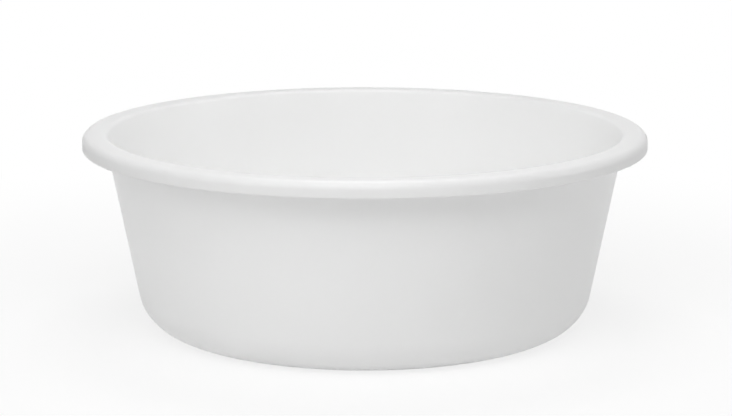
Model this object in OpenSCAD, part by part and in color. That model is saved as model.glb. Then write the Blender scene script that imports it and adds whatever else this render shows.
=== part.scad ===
// Round washing up bowl: one thin moulding of even thickness.
// Z is up, the bowl stands on Z = 0 and its centre line is the Z axis.

/* [Bowl] */
// Diameter over the rim
rim_d = 380; // [280:1:460]
// Height from the surface it stands on to the top of the rim
bowl_h = 133.5; // [90:0.5:180]
// Lean of the wall out from upright, in degrees
wall_lean = 11.253; // [5:0.001:16]
// Thickness of the moulding
wall_t = 2; // [1.6:0.1:2.6]
// Outer radius of the bend between floor and wall
corner_r = 28.5; // [12:0.5:45]

/* [Rim] */
// Radius of the edge between the inside of the wall and the top of the rim
lip_r = 3; // [2.8:0.1:6]
// Width of the flat top of the rim
flat_w = 9; // [3:0.5:20]
// Radius of the outer shoulder of the rim
shoulder_r = 5.2; // [2.8:0.1:7]
// Height of the skirt that hangs from the rim, from the rim's top to its lower edge
skirt_h = 10.5; // [9:0.5:20]

/* [Base] */
// Width of the flat ring that the bowl stands on
ring_w = 11.5; // [4:0.5:40]
// Rise of the floor inside that ring
recess_h = 1.6; // [0.6:0.1:2.4]
// Width of the step from the ring to the raised floor
step_w = 11.2; // [8:0.1:20]
// Diameter of the mark under the floor where the plastic was fed in
gate_d = 7; // [4:0.5:12]
// Height of that mark
gate_h = 0.5; // [0.2:0.1:0.5]

/* [Hidden] */
$fn = 180;

// Turn from the flat floor to the leaning wall, and back again to the flat rim
wall_turn = 90 - wall_lean;
// Radius at which the rim turns flat
rim_in_r = rim_d / 2 - shoulder_r - flat_w;
// Length of the straight wall between the bends at its foot and at its top
wall_l = (bowl_h - lip_r - corner_r
  + (corner_r + lip_r - wall_t) * sin(wall_lean)) / cos(wall_lean);
// Radius at which the floor starts to bend up into the wall
floor_r = rim_in_r - (corner_r + lip_r - wall_t) * cos(wall_lean) - wall_l * sin(wall_lean);
// Height of the straight part of the skirt, between the shoulder and the round edge
skirt_l = skirt_h - shoulder_r - wall_t / 2;
// Turn and inner radius of the two equal bends that make the step
step_turn = 2 * atan(recess_h / step_w);
step_r = step_w / (2 * sin(step_turn)) - wall_t / 2;

// The section is one strip drawn from the middle of the floor outwards. Each stretch starts
// at the origin, heads along X, fills 0 to wall_t in Y, and hands its end to what follows.

// A straight stretch
module run(length) {
  square([length, wall_t]);
  translate([length, 0]) children();
}

// A bend round a centre on the Y axis at centre_y, by turn degrees, to the left if positive
module bend(centre_y, turn) {
  far_r = max(abs(centre_y), abs(centre_y - wall_t));
  translate([0, centre_y]) {
    intersection() {
      difference() {
        circle(far_r);
        circle(far_r - wall_t);
      }
      ahead(far_r);
      rotate(turn + 180) ahead(far_r);
    }
    rotate(turn) translate([0, -centre_y]) children();
  }
}

// All that lies ahead of the Y axis, as far as a circle of radius r needs
module ahead(r) {
  translate([0, -2 * r]) square([2 * r, 4 * r]);
}

// A bend towards the inside of the bowl, with the inner radius r
module bend_in(r, turn) {
  bend(wall_t + r, turn) children();
}

// A bend away from the inside of the bowl, with the inner radius r
module bend_out(r, turn) {
  bend(-r, -turn) children();
}

// The full round that ends the strip
module round_end() {
  translate([0, wall_t / 2]) intersection() {
    circle(wall_t / 2);
    ahead(wall_t / 2);
  }
}

module bowl_section() {
  translate([0, recess_h])
    run(floor_r - ring_w - step_w)
      bend_out(step_r, step_turn)
        bend_in(step_r, step_turn)
          run(ring_w)
            bend_in(corner_r - wall_t, wall_turn)
              run(wall_l)
                bend_out(lip_r - wall_t, wall_turn)
                  run(flat_w)
                    bend_out(shoulder_r - wall_t, 90)
                      run(skirt_l)
                        round_end();
}

// Mark left by the feed, on the middle of the floor's underside
module gate_mark() {
  translate([0, 0, recess_h - gate_h]) cylinder(h = gate_h + wall_t / 2, d = gate_d);
}

module bowl() {
  color("whitesmoke") {
    rotate_extrude() bowl_section();
    gate_mark();
  }
}

bowl();
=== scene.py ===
"""A round white washing up bowl on a pale floor, in soft studio light."""
import math

import bpy
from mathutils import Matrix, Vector


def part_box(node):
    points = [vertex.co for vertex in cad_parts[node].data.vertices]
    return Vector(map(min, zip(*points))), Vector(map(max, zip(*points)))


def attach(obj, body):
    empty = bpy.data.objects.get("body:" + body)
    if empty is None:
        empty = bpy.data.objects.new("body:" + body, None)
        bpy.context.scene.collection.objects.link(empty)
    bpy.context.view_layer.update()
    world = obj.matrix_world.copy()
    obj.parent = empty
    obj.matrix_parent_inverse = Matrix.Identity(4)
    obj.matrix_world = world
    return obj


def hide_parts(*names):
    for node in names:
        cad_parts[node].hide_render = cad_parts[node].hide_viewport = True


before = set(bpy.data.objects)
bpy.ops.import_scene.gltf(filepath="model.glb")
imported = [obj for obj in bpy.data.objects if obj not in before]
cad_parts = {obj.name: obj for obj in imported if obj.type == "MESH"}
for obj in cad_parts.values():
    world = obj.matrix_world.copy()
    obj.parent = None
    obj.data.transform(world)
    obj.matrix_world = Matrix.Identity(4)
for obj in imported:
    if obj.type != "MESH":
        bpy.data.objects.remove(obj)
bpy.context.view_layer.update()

CAD_LOW, CAD_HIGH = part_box("bowl")

# Sizes of the moulding, in metres. The diameter over the rim and the height are the CAD part's,
# less a thousandth of a millimetre all round, so that rounding leaves the bowl inside the CAD box.
MARGIN = 0.000001
RIM_R = min(CAD_HIGH[0] - CAD_LOW[0], CAD_HIGH[1] - CAD_LOW[1]) / 2 - MARGIN
BOWL_H = CAD_HIGH[2] - 2 * MARGIN
WALL_LEAN = math.radians(11.253)
WALL_T = 0.002
CORNER_R = 0.0285
LIP_R = 0.003
FLAT_W = 0.009
SHOULDER_R = 0.0052
SKIRT_H = 0.0105
RING_W = 0.0115
RECESS_H = 0.0016
STEP_W = 0.0112
GATE_R = 0.0035
GATE_H = 0.0005
GATE_EDGE_R = 0.0002

# How finely the surface is divided: faces round the bowl, and the longest step and the widest
# turn from one ring of points to the next
SEGMENTS = 240
STATION = 0.008
TURN_STEP = math.radians(5)

# White polypropylene: its darkest and lightest tone, its gloss, and how far light runs in it
TONE_LOW = (0.963, 0.965, 0.959, 1)
TONE_HIGH = (0.975, 0.977, 0.971, 1)
ROUGHNESS_LOW = 0.34
ROUGHNESS_HIGH = 0.41
PLASTIC_IOR = 1.49
LIGHT_REACH = 0.007

# Its unevenness: the scale of each noise, and the strength and height of the two that raise bumps
HAZE_SCALE = 9.0
WAVES_SCALE = 28.0
WAVES_STRENGTH = 0.05
WAVES_HEIGHT = 0.001
GRAIN_SCALE = 900.0
GRAIN_STRENGTH = 0.06
GRAIN_HEIGHT = 0.0002

# The floor: its colour to the light, how white it looks near the bowl, and how far from the
# middle it starts and ends to turn plain white
FLOOR_R = 3.0
FLOOR_SIDES = 96
FLOOR_COLOUR = (0.9, 0.9, 0.9, 1)
WHITE = (1, 1, 1, 1)
NEAR_WHITENESS = 0.8
FADE_START = 0.2
FADE_END = 0.62

# The light from all round, and each softbox as (name, place, aim, width, height, watts). The
# last one lies low in the bowl and stands for the light that its inside gets in the photograph.
WORLD_LIGHT = 0.1
SOFTBOXES = [
    ("upper_back_box", (0, 0.4, 1.3), (0, 0, 0.1), 0.6, 0.5, 5.0),
    ("upper_front_box", (0, -1.0, 1.3), (0, 0, 0.1), 1.0, 1.0, 10.8),
    ("front_box", (0, -2.0, 1.25), (0, 0, 0.1), 1.2, 1.0, 3.4),
    ("left_box", (-1.3, -1.6, 1.25), (0, 0, 0.1), 1.2, 1.0, 8.9),
    ("right_box", (1.7, 0, 0.6), (0, 0, 0.1), 1.0, 1.0, 3.3),
    ("inside_box", (0.03, 0, 0.04), (-0.1, 0, 0.4), 0.15, 0.15, 0.11),
]

# The photograph's width in pixels, where the bowl's centre line stands in it, and its camera
PHOTO_W = 732
PHOTO_CENTRE_X = 364.9
SENSOR_W = 36
LENS = 124.3
CAMERA_AT = Vector((0, -1.683, 0.4217))
CAMERA_AIM = Vector((0, 0, 0.0791))


def strip_stretches():
    """The section from the centre outwards, as (length of its middle line, turn to the left)."""
    wall_turn = math.pi / 2 - WALL_LEAN
    bends_r = CORNER_R + LIP_R - WALL_T
    rim_in_r = RIM_R - SHOULDER_R - FLAT_W
    wall_l = (BOWL_H - LIP_R - CORNER_R + bends_r * math.sin(WALL_LEAN)) / math.cos(WALL_LEAN)
    floor_r = rim_in_r - bends_r * math.cos(WALL_LEAN) - wall_l * math.sin(WALL_LEAN)
    step_turn = 2 * math.atan(RECESS_H / STEP_W)
    step_l = STEP_W / (2 * math.sin(step_turn)) * step_turn
    half_t = WALL_T / 2
    return [
        (floor_r - RING_W - STEP_W, 0),
        (step_l, -step_turn),
        (step_l, step_turn),
        (RING_W, 0),
        ((CORNER_R - half_t) * wall_turn, wall_turn),
        (wall_l, 0),
        ((LIP_R - half_t) * wall_turn, -wall_turn),
        (FLAT_W, 0),
        ((SHOULDER_R - half_t) * math.pi / 2, -math.pi / 2),
        (SKIRT_H - SHOULDER_R - half_t, 0),
    ]


def walk(stretches, start):
    """(place, heading) along the middle line: first at the start, then after each short step."""
    place = Vector(start)
    heading = 0
    stops = [(place.copy(), heading)]
    for length, turn in stretches:
        steps = max(math.ceil(length / STATION), math.ceil(abs(turn) / TURN_STEP))
        half_step = turn / steps / 2
        chord = length / steps * (math.sin(half_step) / half_step if turn else 1)
        for _ in range(steps):
            heading += half_step
            place += chord * Vector((math.cos(heading), math.sin(heading)))
            heading += half_step
            stops.append((place.copy(), heading))
    return stops


def arc(centre, radius, first, last):
    """Points with their outward normals on an arc, both ends included, angles in radians."""
    steps = max(2, math.ceil(abs(last - first) / TURN_STEP))
    out = []
    for i in range(steps + 1):
        angle = first + (last - first) * i / steps
        normal = Vector((math.cos(angle), math.sin(angle)))
        out.append((Vector(centre) + radius * normal, normal))
    return out


def gate_outline():
    """The feed mark under the middle of the floor, from the centre line outwards."""
    face_z = RECESS_H - GATE_H
    down = Vector((0, -1))
    edge = arc((GATE_R - GATE_EDGE_R, face_z + GATE_EDGE_R), GATE_EDGE_R, -math.pi / 2, 0)
    side = (Vector((GATE_R, RECESS_H)), Vector((1, 0)))
    ceiling = (Vector((GATE_R + GATE_EDGE_R, RECESS_H)), down)
    return [(Vector((0, face_z)), down)] + edge + [side, ceiling]


def bowl_section():
    """The closed outline as (point, normal), from the inside of the floor round to the feed mark."""
    half_t = WALL_T / 2
    stops = walk(strip_stretches(), (0, RECESS_H + half_t + MARGIN))
    inside = []
    outside = []
    for place, heading in stops:
        normal = Vector((-math.sin(heading), math.cos(heading)))
        inside.append((place + half_t * normal, normal))
        outside.append((place - half_t * normal, -normal))
    end, heading = stops[-1]
    tip = arc(end, half_t, heading + math.pi / 2, heading - math.pi / 2)
    return inside + tip[1:-1] + outside[:0:-1] + gate_outline()[::-1]


def lathe(name, section):
    """A mesh turned round the Z axis from a section whose two ends lie on that axis."""
    verts = [(0, 0, section[0][0].y), (0, 0, section[-1][0].y)]
    normals = [(0, 0, section[0][1].y), (0, 0, section[-1][1].y)]
    rings = section[1:-1]
    for point, normal in rings:
        for i in range(SEGMENTS):
            angle = 2 * math.pi * i / SEGMENTS
            cos_a = math.cos(angle)
            sin_a = math.sin(angle)
            verts.append((point.x * cos_a, point.x * sin_a, point.y))
            normals.append((normal.x * cos_a, normal.x * sin_a, normal.y))
    first_ring = 2
    last_ring = first_ring + (len(rings) - 1) * SEGMENTS
    faces = []
    for i in range(SEGMENTS):
        j = (i + 1) % SEGMENTS
        faces.append((0, first_ring + i, first_ring + j))
        faces.append((1, last_ring + j, last_ring + i))
        for k in range(first_ring, last_ring, SEGMENTS):
            faces.append((k + i, k + SEGMENTS + i, k + SEGMENTS + j, k + j))
    mesh = bpy.data.meshes.new(name)
    mesh.from_pydata(verts, [], faces)
    mesh.shade_smooth()
    mesh.normals_split_custom_set_from_vertices(normals)
    piece = bpy.data.objects.new(name, mesh)
    bpy.context.scene.collection.objects.link(piece)
    return piece


class Nodes:
    """Short calls for building a node tree."""

    def __init__(self, tree):
        self.tree = tree
        tree.nodes.clear()

    def add(self, kind, values=None, **settings):
        node = self.tree.nodes.new(kind)
        for key, value in settings.items():
            setattr(node, key, value)
        for socket, value in (values or {}).items():
            node.inputs[socket].default_value = value
        return node

    def link(self, from_node, output, to_node, socket):
        self.tree.links.new(from_node.outputs[output], to_node.inputs[socket])

    def noise(self, scale, detail, roughness):
        return self.add("ShaderNodeTexNoise", {
            "Scale": scale,
            "Detail": detail,
            "Roughness": roughness,
        })

    def white_rays(self):
        """1 for rays that see the background directly, in gloss or through something, else 0."""
        path = self.add("ShaderNodeLightPath")
        direct = self.add("ShaderNodeMath", operation="MAXIMUM")
        seen = self.add("ShaderNodeMath", operation="MAXIMUM")
        self.link(path, "Is Camera Ray", direct, 0)
        self.link(path, "Is Glossy Ray", direct, 1)
        self.link(direct, "Value", seen, 0)
        self.link(path, "Is Transmission Ray", seen, 1)
        return seen


def node_material(name):
    """A new material and the calls that fill its node tree."""
    material = bpy.data.materials.new(name)
    material.use_nodes = True
    return material, Nodes(material.node_tree)


def bowl_plastic():
    """White polypropylene: smooth from the mould, faintly wavy, with slightly uneven gloss."""
    material, nodes = node_material("bowl_plastic")
    place = nodes.add("ShaderNodeTexCoord")
    haze = nodes.noise(HAZE_SCALE, detail=3.0, roughness=0.55)
    waves = nodes.noise(WAVES_SCALE, detail=1.0, roughness=0.4)
    grain = nodes.noise(GRAIN_SCALE, detail=2.0, roughness=0.5)
    gloss = nodes.add("ShaderNodeMapRange", {"To Min": ROUGHNESS_LOW, "To Max": ROUGHNESS_HIGH})
    tone = nodes.add("ShaderNodeMixRGB", {"Color1": TONE_LOW, "Color2": TONE_HIGH})
    broad = nodes.add("ShaderNodeBump", {"Strength": WAVES_STRENGTH, "Distance": WAVES_HEIGHT})
    fine = nodes.add("ShaderNodeBump", {"Strength": GRAIN_STRENGTH, "Distance": GRAIN_HEIGHT})
    skin = nodes.add("ShaderNodeBsdfPrincipled", {
        "IOR": PLASTIC_IOR,
        "Subsurface Weight": 1.0,
        "Subsurface Radius": (1, 1, 1),
        "Subsurface Scale": LIGHT_REACH,
    })
    out = nodes.add("ShaderNodeOutputMaterial")
    for noise in (haze, waves, grain):
        nodes.link(place, "Object", noise, "Vector")
    nodes.link(haze, "Fac", gloss, "Value")
    nodes.link(haze, "Fac", tone, "Fac")
    nodes.link(waves, "Fac", broad, "Height")
    nodes.link(grain, "Fac", fine, "Height")
    nodes.link(broad, "Normal", fine, "Normal")
    nodes.link(tone, "Color", skin, "Base Color")
    nodes.link(gloss, "Result", skin, "Roughness")
    nodes.link(fine, "Normal", skin, "Normal")
    nodes.link(skin, "BSDF", out, "Surface")
    return material


def floor_white():
    """Pale floor with the bowl's shadow on it, which turns to plain white further out."""
    material, nodes = node_material("floor_white")
    place = nodes.add("ShaderNodeTexCoord")
    distance = nodes.add("ShaderNodeVectorMath", operation="LENGTH")
    fade = nodes.add("ShaderNodeMapRange", {
        "From Min": FADE_START,
        "From Max": FADE_END,
        "To Min": NEAR_WHITENESS,
    }, interpolation_type="SMOOTHSTEP")
    seen = nodes.white_rays()
    whiteness = nodes.add("ShaderNodeMath", operation="MULTIPLY")
    colour = nodes.add("ShaderNodeMixRGB", {"Color1": FLOOR_COLOUR, "Color2": WHITE})
    matte = nodes.add("ShaderNodeBsdfDiffuse")
    white = nodes.add("ShaderNodeEmission", {"Color": WHITE, "Strength": 1.0})
    mix = nodes.add("ShaderNodeMixShader")
    out = nodes.add("ShaderNodeOutputMaterial")
    nodes.link(place, "Object", distance, 0)
    nodes.link(distance, "Value", fade, "Value")
    nodes.link(fade, "Result", whiteness, 0)
    nodes.link(seen, "Value", whiteness, 1)
    nodes.link(seen, "Value", colour, "Fac")
    nodes.link(colour, "Color", matte, "Color")
    nodes.link(whiteness, "Value", mix, "Fac")
    nodes.link(matte, "BSDF", mix, 1)
    nodes.link(white, "Emission", mix, 2)
    nodes.link(mix, "Shader", out, "Surface")
    return material


def bowl():
    """The bowl's one moulding."""
    piece = lathe("bowl_moulding", bowl_section())
    piece.data.materials.append(bowl_plastic())
    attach(piece, "root")
    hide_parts("bowl")


def pale_floor():
    """The level surface that the bowl stands on."""
    bpy.ops.mesh.primitive_circle_add(
        vertices=FLOOR_SIDES,
        radius=FLOOR_R,
        fill_type="NGON",
    )
    floor = bpy.context.object
    floor.name = "floor"
    floor.data.materials.append(floor_white())


def studio_world():
    """Even light from all round. What is seen of it, directly or in gloss, is plain white."""
    world = bpy.data.worlds.new("studio")
    world.use_nodes = True
    bpy.context.scene.world = world
    nodes = Nodes(world.node_tree)
    seen = nodes.white_rays()
    light = nodes.add("ShaderNodeMapRange", {"To Min": WORLD_LIGHT, "To Max": 1.0})
    sky = nodes.add("ShaderNodeBackground", {"Color": WHITE})
    out = nodes.add("ShaderNodeOutputWorld")
    nodes.link(seen, "Value", light, "Value")
    nodes.link(light, "Result", sky, "Strength")
    nodes.link(sky, "Background", out, "Surface")


def turn_to(thing, at, aim):
    """Puts a lamp or the camera at a place, looking at a point."""
    thing.location = at
    thing.rotation_euler = (Vector(aim) - Vector(at)).to_track_quat("-Z", "Y").to_euler()
    bpy.context.scene.collection.objects.link(thing)


def softbox(name, at, aim, width, height, watts):
    """A rectangular lamp that doesn't show itself to the camera."""
    lamp = bpy.data.lights.new(name, "AREA")
    lamp.shape = "RECTANGLE"
    lamp.size = width
    lamp.size_y = height
    lamp.energy = watts
    box = bpy.data.objects.new(name, lamp)
    box.visible_camera = False
    turn_to(box, at, aim)


def camera():
    """The camera that took the photograph."""
    data = bpy.data.cameras.new("camera")
    data.sensor_width = SENSOR_W
    data.lens = LENS
    data.shift_x = (PHOTO_W / 2 - PHOTO_CENTRE_X) / PHOTO_W
    view = bpy.data.objects.new("camera", data)
    turn_to(view, CAMERA_AT, CAMERA_AIM)
    bpy.context.scene.camera = view


bowl()
pale_floor()
studio_world()
for settings in SOFTBOXES:
    softbox(*settings)
camera()
bpy.context.scene.view_settings.view_transform = "Standard"
